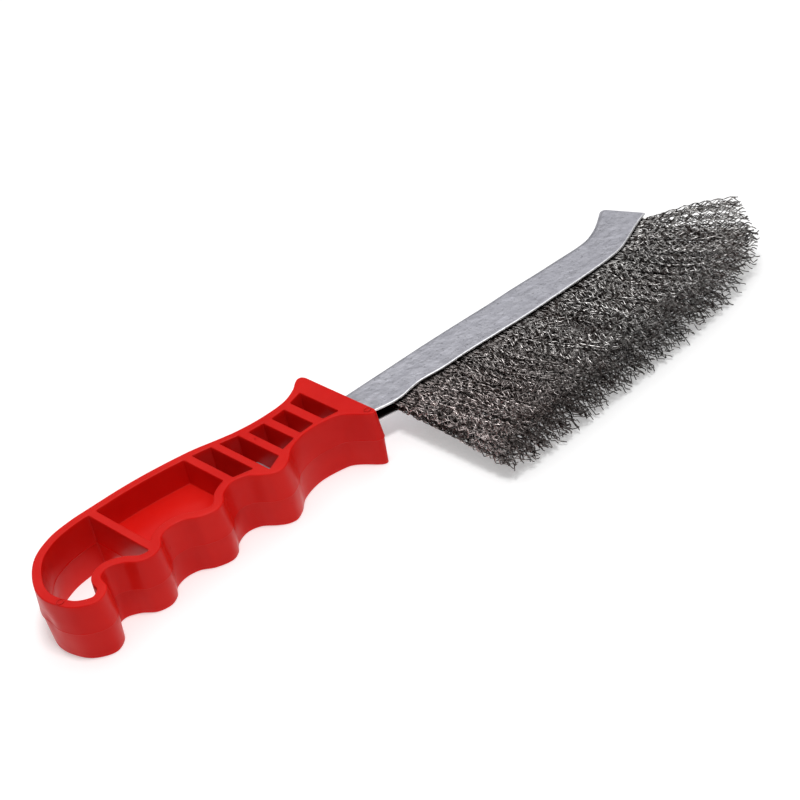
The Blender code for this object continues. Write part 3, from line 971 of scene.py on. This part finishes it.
# %% The wires, bundle by bundle
def bundle_mesh(number):
    """One bundle of hairpins: an upper and a lower leg each, joined round the core wire.

    The last bundles have fewer wires, because they fan out round the channel's tip.
    """
    low, high = (number - 1) / BUNDLE_COUNT, number / BUNDLE_COUNT
    count = round(HAIRPINS * (1 - FEWER_AT_TIP * float(eased(high, *FEWER_OVER))))
    share = low + (high - low) * (np.arange(count) + random.random(count)) / count
    share = share.clip(END_GAP, 1 - END_GAP)
    upper = leg_paths(share, random.random(count) ** OUTWARD_POWER)
    lower = leg_paths(share, -(random.random(count) ** OUTWARD_POWER))
    spine, lip, _ = wire_row(share)
    across = (lip - spine) / np.linalg.norm(lip - spine, axis=1)[:, None]
    turn = np.linspace(TURN / 4, 3 * TURN / 4, BEND_STEPS)
    radius = CORE_RADIUS + WIRE_RADIUS + BEND_ROOM * random.random(count)[:, None]
    depth = CHANNEL_THICKNESS / 2 + radius * np.cos(turn)
    bend = spine[:, None] + across[:, None] * depth[..., None]
    loop = np.concatenate([bend, MID_HEIGHT + (radius * np.sin(turn))[..., None]], 2)
    paths = np.concatenate([upper[:, ::-1], loop, lower], 1)
    painted_light_and_wear = [paint_light_and_wear(share, upper)[:, ::-1], np.zeros((count, BEND_STEPS)), paint_light_and_wear(share, lower)]
    painted_light_and_wear = np.repeat(np.concatenate(painted_light_and_wear, 1), WIRE_SIDES)
    wire_lengths.append(np.linalg.norm(np.diff(paths, axis=1), axis=2).sum(1))
    mesh = mesh_of(f"bundle_{number:02d}", *tubes(paths, WIRE_RADIUS, WIRE_SIDES))
    values = mesh.attributes.new("painted_light_and_wear", "FLOAT", "POINT").data
    values.foreach_set("value", painted_light_and_wear.astype(np.float32))
    return mesh


bristles = bristle_steel()
wire_lengths = []
for number in range(1, BUNDLE_COUNT + 1):
    add_piece(f"wire_bundle_{number:02d}", bundle_mesh(number), bristles, "bristle_steel",
              f"bristle_bundle_{number:02d}")
wire_lengths = np.concatenate(wire_lengths)
grams = wire_lengths.sum() * math.pi * WIRE_RADIUS**2 * STEEL_DENSITY
print(len(wire_lengths), "hairpins,", round(wire_lengths.mean(), 1), "mm long each,",
      round(grams, 1), "g together")

# %% [markdown]
# ## Studio
#
# The brush lies on a pale table that glows a little, as a light table does. A large soft light
# overhead makes the broad sheen, a small one the glints on the wires, and the room is dim.

# %% Floor
FLOOR = 3.0
floor_mesh = bpy.data.meshes.new("floor")
floor_mesh.from_pydata([(-FLOOR, -FLOOR, 0), (FLOOR, -FLOOR, 0), (FLOOR, FLOOR, 0),
                        (-FLOOR, FLOOR, 0)], [], [(0, 1, 2, 3)])
floor_finish, _ = start_material(
    "light_table", Base_Color=(0.78, 0.78, 0.78, 1), Roughness=0.9, Specular_IOR_Level=0.1,
    Emission_Color=(1, 1, 1, 1), Emission_Strength=0.36,
)
floor_mesh.materials.append(floor_finish)
floor = bpy.data.objects.new("floor", floor_mesh)
bpy.context.collection.objects.link(floor)


# %% Lights
def area_light(name, position, size, power):
    """A square soft light of so many watts that faces the middle of the floor."""
    lamp = bpy.data.lights.new(name, "AREA")
    lamp.shape = "SQUARE"
    lamp.size = size
    lamp.energy = power
    holder = bpy.data.objects.new(name, lamp)
    holder.location = position
    holder.rotation_euler = (-Vector(position)).to_track_quat("-Z", "Y").to_euler()
    bpy.context.collection.objects.link(holder)


area_light("overhead_softbox", (0.20, 0.35, 1.30), size=2.0, power=13)
area_light("key_light", (-0.05, -0.25, 1.35), size=0.30, power=9)
room = bpy.data.worlds.new("room")
room.use_nodes = True
room.node_tree.nodes["Background"].inputs["Color"].default_value = (1, 1, 1, 1)
room.node_tree.nodes["Background"].inputs["Strength"].default_value = 0.12
bpy.context.scene.world = room
bpy.context.scene.view_settings.view_transform = "Standard"

# %% [markdown]
# ## Camera
#
# A long lens looks down on the brush from over the butt of the handle, turned so that the brush
# runs up the frame from the lower left.

# %% The camera and its turn about the line of sight
AZIMUTH, ELEVATION, ROLL = math.radians(-35.51), math.radians(34.80), math.radians(-14.66)
DISTANCE = 750.97 * MM
LENS, SENSOR_WIDTH = 105.99, 36
TARGET = Vector((138.68 + BUTT_X, 0.32 + BUTT_Y, 0)) * MM

backwards = Vector((math.sin(AZIMUTH) * math.cos(ELEVATION),
                    -math.cos(AZIMUTH) * math.cos(ELEVATION), math.sin(ELEVATION)))
right = Vector((math.cos(AZIMUTH), math.sin(AZIMUTH), 0))
upwards = backwards.cross(right)
turned_right = math.cos(ROLL) * right + math.sin(ROLL) * upwards
turned_up = math.cos(ROLL) * upwards - math.sin(ROLL) * right
lens = bpy.data.cameras.new("camera")
lens.lens = LENS
lens.sensor_width = SENSOR_WIDTH
lens.clip_start = 0.01
camera = bpy.data.objects.new("camera", lens)
camera.matrix_world = Matrix.Translation(TARGET + DISTANCE * backwards) @ Matrix(
    (turned_right, turned_up, backwards)).transposed().to_4x4()
bpy.context.collection.objects.link(camera)
bpy.context.scene.camera = camera
